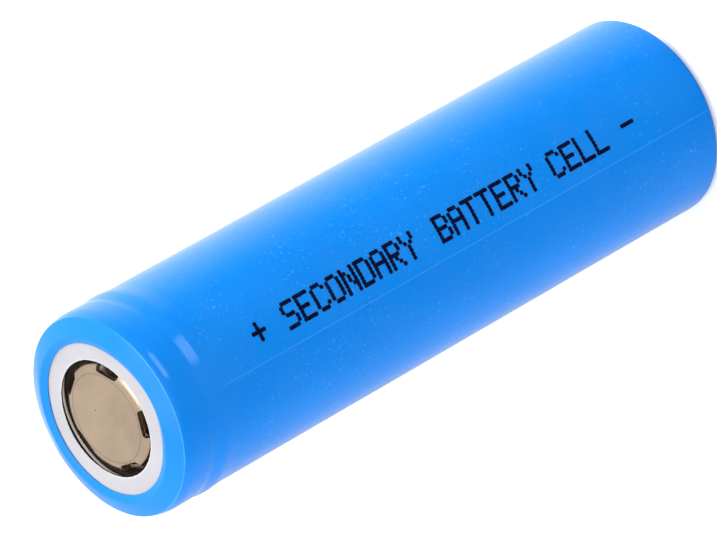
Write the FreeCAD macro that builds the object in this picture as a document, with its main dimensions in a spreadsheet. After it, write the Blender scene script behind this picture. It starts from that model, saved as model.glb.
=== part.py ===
import FreeCAD, Part
import math
import os
import Sketcher

# A cylindrical cell standing on its negative end. +Z runs up the axis to the positive terminal, -Y is
# the printed side, and the origin is on the ground on the axis. Lengths are in millimetres.
# Every piece is drawn in a frame that starts at the positive end: x is the depth below that end, and
# the axis is y = z = 0. Its Placement then stands it up in the part's frame.

SIZES = {
    # outside of the cell
    "cell_length": 65.0,
    "print_turn": 43.7,
    "sleeve_radius": 9.075,
    "sleeve_wall": 0.10,
    "sleeve_front_radius": 9.105,
    "sleeve_ridge_radius": 9.185,
    "sleeve_waist_radius": 9.05,
    "sleeve_front_round": 1.54,
    "sleeve_rear_round": 0.81,
    "sleeve_crest_radius": 7.50,
    "sleeve_mouth_radius": 6.80,
    "sleeve_mouth_drop": 0.22,
    "sleeve_window_radius": 7.40,
    "waist_start": 3.30,
    "waist_floor_start": 3.80,
    "waist_floor_end": 4.05,
    "ridge_start": 5.00,
    "ridge_end": 5.35,
    "taper_end": 6.70,
    # steel can
    "can_radius": 8.95,
    "can_front_radius": 8.98,
    "can_ridge_radius": 9.06,
    "can_wall": 0.25,
    "can_floor": 0.30,
    "can_recess": 0.12,
    "can_rear_round": 0.685,
    "can_inner_round": 0.15,
    "crimp_front": 0.34,
    "crimp_crest_radius": 7.50,
    "crimp_round": 1.20,
    "crimp_inner_round": 0.95,
    "crimp_lip_radius": 5.74,
    "crimp_lip_front": 0.91,
    "crimp_tip_radius": 5.60,
    "crimp_tip_front": 1.12,
    "crimp_back_front": 0.59,
    "crimp_back_radius": 7.45,
    "crimp_lip_back": 1.178,
    "crimp_lip_back_radius": 5.738,
    "bead_mouth_start": 3.40,
    "bead_floor_start": 3.90,
    "bead_floor_end": 4.45,
    "bead_mouth_end": 5.05,
    "bead_depth": 1.30,
    "bead_wall_shift": 0.172,
    "bead_mouth_round": 0.35,
    "bead_floor_round": 0.25,
    "base_ring_radius": 7.25,
    "base_ring_width": 0.08,
    "base_ring_depth": 0.03,
    # insulating washer
    "washer_thickness": 0.20,
    "washer_bore": 5.22,
    "washer_radius": 7.80,
    "washer_front": 0.34,
    "washer_bore_front": 0.36,
    "washer_crest_front": 0.12,
    "washer_rim_front": 0.15,
    "washer_rim_back": 0.32,
    # seal gasket
    "gasket_front": 0.61,
    "gasket_radius": 8.71,
    "gasket_round": 0.93,
    "gasket_end": 3.02,
    "gasket_bore": 5.40,
    "gasket_bore_front": 1.32,
    "gasket_slope_front": 0.64,
    "gasket_slope_radius": 7.50,
    "gasket_foot_bore": 6.60,
    "gasket_pocket_radius": 8.12,
    # terminal stack
    "stack_radius": 8.10,
    "cap_front": 0.45,
    "cap_thickness": 0.40,
    "cap_dome_radius": 4.97,
    "cap_foot_radius": 5.05,
    "cap_dome_round": 0.90,
    "cap_inner_round": 0.50,
    "flange_front": 1.55,
    "coin_radius": 3.97,
    "coin_width": 0.06,
    "coin_depth": 0.03,
    "window_inner": 4.12,
    "window_outer": 5.20,
    "window_width": 2.46,
    "window_floor": 1.50,
    "window_count": 5,
    "window_round": 0.35,
    "ptc_front": 1.95,
    "ptc_thickness": 0.30,
    "ptc_bore": 4.90,
    "vent_front": 2.25,
    "vent_thickness": 0.25,
    "vent_bore": 3.63,
    "diaphragm_radius": 3.60,
    "diaphragm_front": 2.27,
    "diaphragm_back": 2.45,
    "dish_front": 2.60,
    "dish_outer_radius": 1.70,
    "dish_inner_radius": 1.10,
    "boss_radius": 1.20,
    "boss_outer_radius": 1.80,
    "cid_radius": 6.40,
    "cid_insulator_front": 2.50,
    "cid_insulator_thickness": 0.35,
    "cid_insulator_bore": 5.30,
    "cid_plate_front": 2.85,
    "cid_plate_thickness": 0.40,
    "cid_hole_radius": 0.70,
    "cid_hole_circle": 4.10,
    "cid_hole_count": 6,
    # insulators above and below the winding
    "top_insulator_front": 5.50,
    "bottom_insulator_front": 64.18,
    "insulator_thickness": 0.30,
    "top_insulator_radius": 8.40,
    "bottom_insulator_radius": 8.20,
    "insulator_bore": 1.60,
    "gas_hole_radius": 1.00,
    "gas_hole_circle": 5.00,
    "tab_slot_low": 4.75,
    "tab_slot_high": 5.75,
    "tab_slot_width": 4.60,
    # winding
    "core_radius": 1.75,
    "winding_pitch": 0.337,
    "winding_half_turns": 38,
    "cathode_thickness": 0.14,
    "anode_thickness": 0.105,
    "separator_thickness": 0.02,
    "layer_gap": 0.013,
    "separator_front": 5.90,
    "separator_height": 58.10,
    "anode_front": 6.40,
    "anode_height": 57.10,
    "cathode_front": 6.95,
    "cathode_height": 56.00,
    "closing_tape_radius": 8.62,
    "closing_tape_thickness": 0.05,
    "closing_tape_front": 8.00,
    "closing_tape_height": 44.00,
    "pin_radius": 1.50,
    "pin_wall": 0.20,
    "pin_front": 6.40,
    "pin_length": 57.20,
    "pin_slit": 0.50,
    # tabs
    "tab_width": 4.00,
    "tab_thickness": 0.10,
    "tab_half_turns": 20,
    "tab_lane_gap": 0.02,
    "positive_run_front": 4.95,
    "positive_fold_reach": 1.50,
    "positive_weld_reach": 3.00,
    "tab_tape_thickness": 0.05,
    "tab_tape_low": 0.50,
    "tab_tape_high": 4.70,
    "negative_leg_radius": 8.54,
    "negative_leg_front": 49.00,
    "negative_foot_reach": 1.50,
    "negative_tape_radius": 8.62,
    "negative_tape_front": 53.00,
    "negative_tape_height": 9.00,
}

PART_FOLDER = "parts"
X_AXIS = FreeCAD.Vector(1, 0, 0)
Y_AXIS = FreeCAD.Vector(0, 1, 0)
Z_AXIS = FreeCAD.Vector(0, 0, 1)
TO_X_AXIS = FreeCAD.Rotation(Y_AXIS, 90)
TO_Y_AXIS = FreeCAD.Rotation(X_AXIS, -90)
UPRIGHT = FreeCAD.Rotation(Z_AXIS, -SIZES["print_turn"]).multiply(FreeCAD.Rotation(Y_AXIS, 90))

doc = FreeCAD.newDocument("cell")


def make_sheet():
    """Write the driving sizes into the sheet, one alias a row."""
    sheet = doc.addObject("Spreadsheet::Sheet", "Sizes")
    for row, (alias, value) in enumerate(SIZES.items(), start=1):
        sheet.set("A%d" % row, alias)
        sheet.set("B%d" % row, str(value))
        sheet.setAlias("B%d" % row, alias)
    doc.recompute()
    return sheet


# ---------------------------------------------------------------- sums of named sizes

def value_of(text):
    """Return the number of a sum such as 'can_radius - can_wall'; an empty sum is zero."""
    total = 0.0
    sign = 1.0
    for word in text.split():
        if word in "+-":
            sign = -1.0 if word == "-" else 1.0
        else:
            total += sign * SIZES[word]
    return total


def expression_of(text):
    """Return the same sum as an expression that reads the sheet."""
    return " ".join(word if word in "+-" else "Sizes." + word for word in text.split())


# ---------------------------------------------------------------- bodies and sketches

def stand_up(node, depth=""):
    """Turn a node upright and bind its height: its x = 0 plane goes to a depth below the positive end."""
    node.Placement = FreeCAD.Placement(FreeCAD.Vector(), UPRIGHT)
    node.setExpression("Placement.Base.z", expression_of("cell_length" + (" - " + depth if depth else "")))


def new_body(name):
    body = doc.addObject("PartDesign::Body", name)
    body.Label = name
    stand_up(body)
    return body


def new_sketch(body, name, role, along=""):
    """Attach a sketch to one of the body's own origin planes."""
    plane = [feature for feature in body.Origin.OriginFeatures if feature.Role == role][0]
    sketch = body.newObject("Sketcher::SketchObject", name)
    sketch.AttachmentSupport = (plane, [""])
    sketch.MapMode = "FlatFace"
    if along:
        sketch.setExpression("AttachmentOffset.Base.z", expression_of(along))
    return sketch


def tie_corner(sketch, line, kind, text):
    """Hold the start of a line at a named distance from the sketch's origin, or on its axis."""
    if not text:
        axis = -2 if kind == "DistanceX" else -1
        sketch.addConstraint(Sketcher.Constraint("PointOnObject", line, 1, axis))
        return
    number = sketch.addConstraint(Sketcher.Constraint(kind, -1, 1, line, 1, value_of(text)))
    sketch.setExpression("Constraints[%d]" % number, expression_of(text))


def draw_outline(sketch, corners):
    """Draw a closed outline of straight lines and tie every corner to its sizes."""
    points = [FreeCAD.Vector(value_of(along), value_of(out), 0) for along, out in corners]
    first = sketch.GeometryCount
    count = len(points)
    for index, point in enumerate(points):
        sketch.addGeometry(Part.LineSegment(point, points[(index + 1) % count]), False)
    for index in range(count):
        following = first + (index + 1) % count
        sketch.addConstraint(Sketcher.Constraint("Coincident", first + index, 2, following, 1))
    for index, (along, out) in enumerate(corners):
        tie_corner(sketch, first + index, "DistanceX", along)
        tie_corner(sketch, first + index, "DistanceY", out)


def draw_circle(sketch, radius, out=""):
    """Draw a circle on the sketch's vertical axis, a named distance above its origin."""
    centre = FreeCAD.Vector(0, value_of(out), 0)
    circle = sketch.addGeometry(Part.Circle(centre, FreeCAD.Vector(0, 0, 1), value_of(radius)), False)
    number = sketch.addConstraint(Sketcher.Constraint("Radius", circle, value_of(radius)))
    sketch.setExpression("Constraints[%d]" % number, expression_of(radius))
    if not out:
        sketch.addConstraint(Sketcher.Constraint("Coincident", circle, 3, -1, 1))
        return
    sketch.addConstraint(Sketcher.Constraint("PointOnObject", circle, 3, -2))
    number = sketch.addConstraint(Sketcher.Constraint("DistanceY", -1, 1, circle, 3, value_of(out)))
    sketch.setExpression("Constraints[%d]" % number, expression_of(out))


def turned_body(name, corners):
    """Revolve an outline of (distance from the positive end, radius) corners about the cell's axis."""
    body = new_body(name)
    sketch = new_sketch(body, name + "_outline", "XY_Plane")
    draw_outline(sketch, corners)
    turned = body.newObject("PartDesign::Revolution", name + "_turned")
    turned.Profile = sketch
    turned.ReferenceAxis = (sketch, ["H_Axis"])
    turned.Angle = 360
    doc.recompute()
    return body


def disc_body(name, front, thickness, radius, bore=""):
    """Pad a flat disc or ring, square to the cell's axis."""
    body = new_body(name)
    sketch = new_sketch(body, name + "_outline", "YZ_Plane", front)
    draw_circle(sketch, radius)
    if bore:
        draw_circle(sketch, bore)
    pad = body.newObject("PartDesign::Pad", name + "_pad")
    pad.Profile = sketch
    pad.setExpression("Length", expression_of(thickness))
    doc.recompute()
    return body


def round_edges(body, radius, *corners):
    """Fillet the circular edges that run through the given corners of a turned outline."""
    base = body.Tip
    names = []
    for along, out in corners:
        for number, edge in enumerate(base.Shape.Edges, start=1):
            curve = edge.Curve
            if isinstance(curve, Part.Circle) and abs(curve.Radius - value_of(out)) < 1e-6:
                if abs(curve.Center.x - value_of(along)) < 1e-6:
                    names.append("Edge%d" % number)
    if len(names) != len(corners):
        raise RuntimeError("%s: %d edges for %d corners" % (body.Label, len(names), len(corners)))
    fillet = body.newObject("PartDesign::Fillet", body.Label + "_" + radius)
    fillet.Base = (base, names)
    fillet.setExpression("Radius", expression_of(radius))
    body.Tip = fillet
    doc.recompute()


def cut_pocket(body, sketch, depth):
    """Pocket a sketch towards the negative end and check that it removed material."""
    before = body.Tip.Shape.Volume
    pocket = body.newObject("PartDesign::Pocket", sketch.Label + "_cut")
    pocket.Profile = sketch
    pocket.Reversed = True
    pocket.setExpression("Length", expression_of(depth))
    doc.recompute()
    if not pocket.Shape.Volume < before - 1e-6:
        raise RuntimeError("%s removed nothing" % pocket.Label)
    return pocket


def repeat_round_axis(body, pocket, count):
    """Repeat a pocket evenly round the cell's axis."""
    axis = [feature for feature in body.Origin.OriginFeatures if feature.Role == "X_Axis"][0]
    pattern = body.newObject("PartDesign::PolarPattern", pocket.Label + "_pattern")
    pattern.Originals = [pocket]
    pattern.Axis = (axis, [""])
    pattern.Angle = 360
    pattern.setExpression("Occurrences", expression_of(count))
    body.Tip = pattern
    doc.recompute()


# ---------------------------------------------------------------- outside of the cell

def make_sleeve():
    """Shrink film: lip over the washer, waist over the can's bead, ridge below it, folded rear end."""
    wall = "sleeve_wall"
    rear_inner = "cell_length - sleeve_wall"
    side = [
        ("waist_start", "sleeve_front_radius"),
        ("waist_floor_start", "sleeve_waist_radius"),
        ("waist_floor_end", "sleeve_waist_radius"),
        ("ridge_start", "sleeve_ridge_radius"),
        ("ridge_end", "sleeve_ridge_radius"),
        ("taper_end", "sleeve_radius"),
    ]
    body = turned_body("outer_sleeve", [
        ("sleeve_mouth_drop", "sleeve_mouth_radius"),
        ("", "sleeve_crest_radius"),
        ("", "sleeve_front_radius"),
        *side,
        ("cell_length", "sleeve_radius"),
        ("cell_length", "sleeve_window_radius"),
        (rear_inner, "sleeve_window_radius"),
        (rear_inner, "sleeve_radius - sleeve_wall"),
        *[(along, out + " - " + wall) for along, out in reversed(side)],
        (wall, "sleeve_front_radius - sleeve_wall"),
        (wall, "sleeve_crest_radius"),
        ("sleeve_mouth_drop + sleeve_wall", "sleeve_mouth_radius"),
    ])
    round_edges(body, "sleeve_front_round", ("", "sleeve_front_radius"))
    round_edges(body, "sleeve_front_round - sleeve_wall", (wall, "sleeve_front_radius - sleeve_wall"))
    round_edges(body, "sleeve_rear_round", ("cell_length", "sleeve_radius"))
    round_edges(body, "sleeve_rear_round - sleeve_wall", (rear_inner, "sleeve_radius - sleeve_wall"))
    return body


def make_washer():
    return turned_body("insulating_washer", [
        ("washer_bore_front", "washer_bore"),
        ("washer_front", "sleeve_mouth_radius"),
        ("washer_crest_front", "sleeve_crest_radius"),
        ("washer_rim_front", "washer_radius"),
        ("washer_rim_back", "washer_radius"),
        ("washer_crest_front + washer_thickness", "sleeve_crest_radius"),
        ("washer_front + washer_thickness", "sleeve_mouth_radius"),
        ("washer_bore_front + washer_thickness", "washer_bore"),
    ])


def make_can():
    """Deep-drawn can: crimped lip, bead groove that holds the seal, straight wall and coined floor."""
    rear = "cell_length - can_recess"
    inner = "can_radius - can_wall"
    front_inner = "can_front_radius - can_wall"
    ridge_inner = "can_ridge_radius - can_wall"
    floor = "can_radius - bead_depth"
    nose = "can_radius - bead_depth - can_wall"
    body = turned_body("can", [
        ("crimp_lip_front", "crimp_lip_radius"),
        ("crimp_front", "crimp_crest_radius"),
        ("crimp_front", "can_front_radius"),
        ("bead_mouth_start", "can_front_radius"),
        ("bead_floor_start", floor),
        ("bead_floor_end", floor),
        ("bead_mouth_end", "can_ridge_radius"),
        ("ridge_end", "can_ridge_radius"),
        ("taper_end", "can_radius"),
        (rear, "can_radius"),
        (rear, "base_ring_radius + base_ring_width"),
        (rear + " - base_ring_depth", "base_ring_radius + base_ring_width"),
        (rear + " - base_ring_depth", "base_ring_radius"),
        (rear, "base_ring_radius"),
        (rear, ""),
        (rear + " - can_floor", ""),
        (rear + " - can_floor", inner),
        ("taper_end", inner),
        ("bead_mouth_end + bead_wall_shift", ridge_inner),
        ("bead_floor_end + bead_wall_shift", nose),
        ("bead_floor_start - bead_wall_shift", nose),
        ("bead_mouth_start - bead_wall_shift", front_inner),
        ("crimp_back_front", front_inner),
        ("crimp_back_front", "crimp_back_radius"),
        ("crimp_lip_back", "crimp_lip_back_radius"),
        ("crimp_tip_front", "crimp_tip_radius"),
    ])
    round_edges(body, "crimp_round", ("crimp_front", "can_front_radius"))
    round_edges(body, "crimp_inner_round", ("crimp_back_front", front_inner))
    round_edges(body, "can_rear_round", (rear, "can_radius"))
    round_edges(body, "can_inner_round", (rear + " - can_floor", inner))
    round_edges(body, "bead_mouth_round", ("bead_mouth_start", "can_front_radius"),
                ("bead_mouth_end", "can_ridge_radius"))
    round_edges(body, "bead_floor_round", ("bead_floor_start", floor), ("bead_floor_end", floor))
    round_edges(body, "bead_mouth_round - can_wall",
                ("bead_mouth_start - bead_wall_shift", front_inner),
                ("bead_mouth_end + bead_wall_shift", ridge_inner))
    round_edges(body, "bead_floor_round + can_wall",
                ("bead_floor_start - bead_wall_shift", nose), ("bead_floor_end + bead_wall_shift", nose))
    return body


# ---------------------------------------------------------------- seal and terminal stack

def make_gasket():
    stack_end = "cid_insulator_front"
    body = turned_body("seal_gasket", [
        ("gasket_bore_front", "gasket_bore"),
        ("gasket_slope_front", "gasket_slope_radius"),
        ("gasket_front", "gasket_slope_radius"),
        ("gasket_front", "gasket_radius"),
        ("gasket_end", "gasket_radius"),
        ("gasket_end", "gasket_foot_bore"),
        (stack_end, "gasket_foot_bore"),
        (stack_end, "gasket_pocket_radius"),
        ("flange_front", "gasket_pocket_radius"),
        ("flange_front", "gasket_bore"),
    ])
    round_edges(body, "gasket_round", ("gasket_front", "gasket_radius"))
    return body


def make_cap():
    """Pressed cap: flat button, five windows round its shoulder and a flange under the crimp."""
    inner_radius = "cap_dome_radius - cap_thickness"
    body = turned_body("positive_cap", [
        ("cap_front", ""),
        ("cap_front", "coin_radius"),
        ("cap_front + coin_depth", "coin_radius"),
        ("cap_front + coin_depth", "coin_radius + coin_width"),
        ("cap_front", "coin_radius + coin_width"),
        ("cap_front", "cap_dome_radius"),
        ("flange_front", "cap_foot_radius"),
        ("flange_front", "stack_radius"),
        ("flange_front + cap_thickness", "stack_radius"),
        ("flange_front + cap_thickness", inner_radius),
        ("cap_front + cap_thickness", inner_radius),
        ("cap_front + cap_thickness", ""),
    ])
    round_edges(body, "cap_dome_round", ("cap_front", "cap_dome_radius"))
    round_edges(body, "cap_inner_round", ("cap_front + cap_thickness", inner_radius))
    sketch = new_sketch(body, "window", "YZ_Plane", "cap_front - coin_depth")
    draw_window(sketch)
    pocket = cut_pocket(body, sketch, "window_floor - cap_front + coin_depth")
    repeat_round_axis(body, pocket, "window_count")
    return body


def draw_window(sketch):
    """Draw a slot across the cap's shoulder, centred on +Z, with two rounded inner corners."""
    half = value_of("window_width") / 2
    low = value_of("window_inner")
    high = value_of("window_outer")
    bend = value_of("window_round")
    up = FreeCAD.Vector(0, 0, 1)
    left = Part.Circle(FreeCAD.Vector(-half + bend, low + bend, 0), up, bend)
    right = Part.Circle(FreeCAD.Vector(half - bend, low + bend, 0), up, bend)
    corners = [FreeCAD.Vector(-half + bend, low, 0), FreeCAD.Vector(half - bend, low, 0),
               FreeCAD.Vector(half, low + bend, 0), FreeCAD.Vector(half, high, 0),
               FreeCAD.Vector(-half, high, 0), FreeCAD.Vector(-half, low + bend, 0)]
    sketch.addGeometry([
        Part.LineSegment(corners[0], corners[1]),
        Part.ArcOfCircle(right, 1.5 * math.pi, 2 * math.pi),
        Part.LineSegment(corners[2], corners[3]),
        Part.LineSegment(corners[3], corners[4]),
        Part.LineSegment(corners[4], corners[5]),
        Part.ArcOfCircle(left, math.pi, 1.5 * math.pi),
    ], False)
    sketch.addConstraint([
        Sketcher.Constraint("Tangent", 0, 2, 1, 1),
        Sketcher.Constraint("Tangent", 1, 2, 2, 1),
        Sketcher.Constraint("Coincident", 2, 2, 3, 1),
        Sketcher.Constraint("Coincident", 3, 2, 4, 1),
        Sketcher.Constraint("Tangent", 4, 2, 5, 1),
        Sketcher.Constraint("Tangent", 5, 2, 0, 1),
        Sketcher.Constraint("Horizontal", 0),
        Sketcher.Constraint("Vertical", 2),
        Sketcher.Constraint("Equal", 1, 5),
        Sketcher.Constraint("Symmetric", 2, 2, 3, 2, -2),
    ])
    for kind, places, text in (
            ("Radius", (1,), "window_round"),
            ("DistanceY", (-1, 1, 0, 1), "window_inner"),
            ("DistanceY", (-1, 1, 3, 1), "window_outer"),
            ("DistanceX", (3, 2, 3, 1), "window_width")):
        number = sketch.addConstraint(Sketcher.Constraint(kind, *places, value_of(text)))
        sketch.setExpression("Constraints[%d]" % number, expression_of(text))


def make_diaphragm():
    """Dished middle of the vent disc, with the boss that is welded to the contact plate."""
    return turned_body("vent_diaphragm", [
        ("diaphragm_front", "diaphragm_radius"),
        ("diaphragm_front", "dish_outer_radius"),
        ("dish_front", "dish_inner_radius"),
        ("dish_front", ""),
        ("cid_plate_front", ""),
        ("cid_plate_front", "boss_radius"),
        ("diaphragm_back", "boss_outer_radius"),
        ("diaphragm_back", "diaphragm_radius"),
    ])


def make_contact_plate():
    body = disc_body("cid_plate", "cid_plate_front", "cid_plate_thickness", "cid_radius")
    sketch = new_sketch(body, "cid_hole", "YZ_Plane", "cid_plate_front")
    draw_circle(sketch, "cid_hole_radius", "cid_hole_circle")
    pocket = cut_pocket(body, sketch, "cid_plate_thickness")
    repeat_round_axis(body, pocket, "cid_hole_count")
    return body


# ---------------------------------------------------------------- insulators

def draw_rectangle(sketch, width, low, high):
    """Draw a rectangle centred on the sketch's vertical axis, between two named heights."""
    half = value_of(width) / 2
    bottom = value_of(low)
    top = value_of(high)
    corners = [FreeCAD.Vector(-half, bottom, 0), FreeCAD.Vector(half, bottom, 0),
               FreeCAD.Vector(half, top, 0), FreeCAD.Vector(-half, top, 0)]
    for index in range(4):
        sketch.addGeometry(Part.LineSegment(corners[index], corners[(index + 1) % 4]), False)
    for index in range(4):
        sketch.addConstraint(Sketcher.Constraint("Coincident", index, 2, (index + 1) % 4, 1))
    sketch.addConstraint([
        Sketcher.Constraint("Symmetric", 0, 1, 0, 2, -2),
        Sketcher.Constraint("Vertical", 1),
        Sketcher.Constraint("Horizontal", 2),
        Sketcher.Constraint("Vertical", 3),
    ])
    for kind, places, text in (
            ("DistanceX", (0, 1, 0, 2), width),
            ("DistanceY", (-1, 1, 0, 1), low),
            ("DistanceY", (-1, 1, 2, 1), high)):
        number = sketch.addConstraint(Sketcher.Constraint(kind, *places, value_of(text)))
        sketch.setExpression("Constraints[%d]" % number, expression_of(text))


def make_top_insulator():
    """Disc on the winding: core hole, slot for the positive tab and two gas holes."""
    body = disc_body("top_insulator", "top_insulator_front", "insulator_thickness",
                     "top_insulator_radius", "insulator_bore")
    slot = new_sketch(body, "tab_slot", "YZ_Plane", "top_insulator_front")
    draw_rectangle(slot, "tab_slot_width", "tab_slot_low", "tab_slot_high")
    cut_pocket(body, slot, "insulator_thickness")
    for number, angle in enumerate((-120, 120)):
        hole = new_sketch(body, "gas_hole_%d" % number, "YZ_Plane")
        draw_circle(hole, "gas_hole_radius", "gas_hole_circle")
        hole.AttachmentOffset = FreeCAD.Placement(FreeCAD.Vector(), FreeCAD.Rotation(Z_AXIS, angle))
        hole.setExpression("AttachmentOffset.Base.z", expression_of("top_insulator_front"))
        cut_pocket(body, hole, "insulator_thickness")
    return body


def make_positive_tab_tape():
    """Tape under the level run of the positive tab, towards the winding."""
    body = new_body("positive_tab_tape")
    sketch = new_sketch(body, "tab_tape_outline", "YZ_Plane", "positive_run_front + tab_thickness")
    draw_rectangle(sketch, "tab_width", "tab_tape_low", "tab_tape_high")
    pad = body.newObject("PartDesign::Pad", "tab_tape_pad")
    pad.Profile = sketch
    pad.setExpression("Length", expression_of("tab_tape_thickness"))
    doc.recompute()
    return body


# ---------------------------------------------------------------- winding

def winding_point(radius, angle, centre):
    """Return a point of the winding's end view; angle 0 is -Z, and centres lie on that line."""
    across = radius * math.sin(angle)
    down = centre + radius * math.cos(angle)
    return FreeCAD.Vector(0, across, -down)


def spiral_edges(offset, first, last):
    """Return the half-turn arcs of one face of a wound strip.

    Half-turns alternate between two centres half a pitch apart, and each radius is half a pitch
    larger than the one before, so the arcs join smoothly and neighbouring faces keep their distance.
    """
    pitch = SIZES["winding_pitch"]
    edges = []
    for half_turn in range(first, last + 1):
        radius = SIZES["core_radius"] + offset + half_turn * pitch / 2
        odd = half_turn % 2
        centre = pitch / 4 if odd else -pitch / 4
        start = math.pi if odd else 0.0
        points = [winding_point(radius, start + quarter * math.pi / 2, centre) for quarter in range(3)]
        edges.append(Part.Arc(*points).toShape())
    return edges


def make_wound_strip(name, offset, thickness, first, last, front, height):
    """Extrude the end view of one wound strip along the cell's axis."""
    inner = spiral_edges(offset, first, last)
    outer = spiral_edges(offset + SIZES[thickness], first, last)
    start = Part.LineSegment(inner[0].Vertexes[0].Point, outer[0].Vertexes[0].Point).toShape()
    end = Part.LineSegment(inner[-1].Vertexes[-1].Point, outer[-1].Vertexes[-1].Point).toShape()
    wire = Part.Wire(Part.__sortEdges__(inner + [end] + outer + [start]))
    outline = doc.addObject("Part::Feature", name + "_end_view")
    outline.Shape = Part.Face(wire)
    strip = doc.addObject("Part::Extrusion", name)
    strip.Label = name
    strip.Base = outline
    strip.DirMode = "Custom"
    strip.Dir = X_AXIS
    strip.Solid = True
    strip.setExpression("LengthFwd", expression_of(height))
    stand_up(strip, front)
    return strip


def make_winding():
    """Four strips side by side in one pitch, from the core outwards."""
    gap = SIZES["layer_gap"]
    last = int(SIZES["winding_half_turns"]) - 1
    cathode_offset = SIZES["separator_thickness"] + gap
    second_offset = cathode_offset + SIZES["cathode_thickness"] + gap
    anode_offset = second_offset + SIZES["separator_thickness"] + gap
    return [
        make_wound_strip("inner_separator", 0.0, "separator_thickness", 0, last,
                         "separator_front", "separator_height"),
        make_wound_strip("cathode_strip", cathode_offset, "cathode_thickness", 2, last - 1,
                         "cathode_front", "cathode_height"),
        make_wound_strip("outer_separator", second_offset, "separator_thickness", 0, last,
                         "separator_front", "separator_height"),
        make_wound_strip("anode_strip", anode_offset, "anode_thickness", 1, last,
                         "anode_front", "anode_height"),
    ]


# ---------------------------------------------------------------- tubes, strips and tabs

def bind(node, **expressions):
    for name, expression in expressions.items():
        node.setExpression(name.replace("__", "."), expression)


def tube(name, radius, wall, front, length):
    """Thin tube along the cell's axis, from Part primitives, with sizes as expressions."""
    solids = []
    for suffix, size in (("_outside", radius), ("_bore", "%s - %s" % (radius, wall))):
        cylinder = doc.addObject("Part::Cylinder", name + suffix)
        cylinder.Placement = FreeCAD.Placement(FreeCAD.Vector(), TO_X_AXIS)
        bind(cylinder, Radius=size, Height=length, Placement__Base__x=front)
        solids.append(cylinder)
    cut = doc.addObject("Part::Cut", name)
    cut.Base, cut.Tool = solids
    return cut


def block(name, front, length, low, high, width):
    """Box across the cell's middle plane, between two heights, with sizes as expressions."""
    box = doc.addObject("Part::Box", name)
    bind(box, Length=length, Width=width, Height="%s - (%s)" % (high, low))
    bind(box, Placement__Base__x=front, Placement__Base__y="-(%s) / 2" % width, Placement__Base__z=low)
    return box


def make_closing_tape():
    tape = tube("closing_tape", "Sizes.closing_tape_radius", "Sizes.closing_tape_thickness",
                "Sizes.closing_tape_front", "Sizes.closing_tape_height")
    tape.Label = "closing_tape"
    stand_up(tape)
    return tape


def make_centre_pin():
    """Slit tube that keeps the core open."""
    wall = tube("pin_tube", "Sizes.pin_radius", "Sizes.pin_wall", "Sizes.pin_front", "Sizes.pin_length")
    slit = block("pin_slit_block", "Sizes.pin_front", "Sizes.pin_length", "0",
                 "2 * Sizes.pin_radius", "Sizes.pin_slit")
    pin = doc.addObject("Part::Cut", "centre_pin")
    pin.Base = wall
    pin.Tool = slit
    pin.Label = "centre_pin"
    stand_up(pin)
    return pin


def curved_strip(name, radius, thickness, front, length, low, high):
    """Strip as wide as a tab that lies on a cylinder about the cell's axis, on one side of it."""
    common = doc.addObject("Part::Common", name)
    common.Base = tube(name + "_tube", radius, thickness, front, length)
    common.Tool = block(name + "_block", front, length, low, high, "Sizes.tab_width")
    return common


def fuse(name, pieces):
    node = doc.addObject("Part::MultiFuse", name)
    node.Shapes = pieces
    node.Label = name
    stand_up(node)
    return node


def make_positive_tab():
    """Strip from the cathode's lane in the winding, across the cell and folded back to the plate."""
    lane = ("Sizes.core_radius + (Sizes.tab_half_turns / 2 + 0.25) * Sizes.winding_pitch"
            " + Sizes.separator_thickness + Sizes.layer_gap + Sizes.tab_lane_gap + Sizes.tab_thickness")
    thick = "Sizes.tab_thickness"
    run = "Sizes.positive_run_front"
    plate_back = "(Sizes.cid_plate_front + Sizes.cid_plate_thickness)"
    fold = "-Sizes.positive_fold_reach"
    leg = curved_strip("positive_leg", lane, thick, run, "Sizes.cathode_front - " + run, "0", lane)
    level = block("positive_run", run, thick, fold, lane, "Sizes.tab_width")
    back = block("positive_return", plate_back, thick, fold, "Sizes.positive_weld_reach",
                 "Sizes.tab_width")
    bend = make_fold(plate_back, "%s + %s - %s" % (run, thick, plate_back), fold)
    return fuse("positive_tab", [leg, level, back, bend])


def make_fold(front, span, height):
    """Half-round fold of the tab between two levels."""
    solids = []
    for suffix, radius in (("outside", "(%s) / 2" % span),
                           ("inside", "(%s) / 2 - Sizes.tab_thickness" % span)):
        cylinder = doc.addObject("Part::Cylinder", "fold_" + suffix)
        cylinder.Placement = FreeCAD.Placement(FreeCAD.Vector(), TO_Y_AXIS)
        bind(cylinder, Radius=radius, Height="Sizes.tab_width",
             Placement__Base__x="%s + (%s) / 2" % (front, span),
             Placement__Base__y="-Sizes.tab_width / 2", Placement__Base__z=height)
        solids.append(cylinder)
    ring = doc.addObject("Part::Cut", "fold_ring")
    ring.Base, ring.Tool = solids
    half = doc.addObject("Part::Common", "fold_half")
    half.Base = ring
    half.Tool = block("fold_block", front, span, "%s - (%s)" % (height, span), height, "Sizes.tab_width")
    return half


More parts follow.
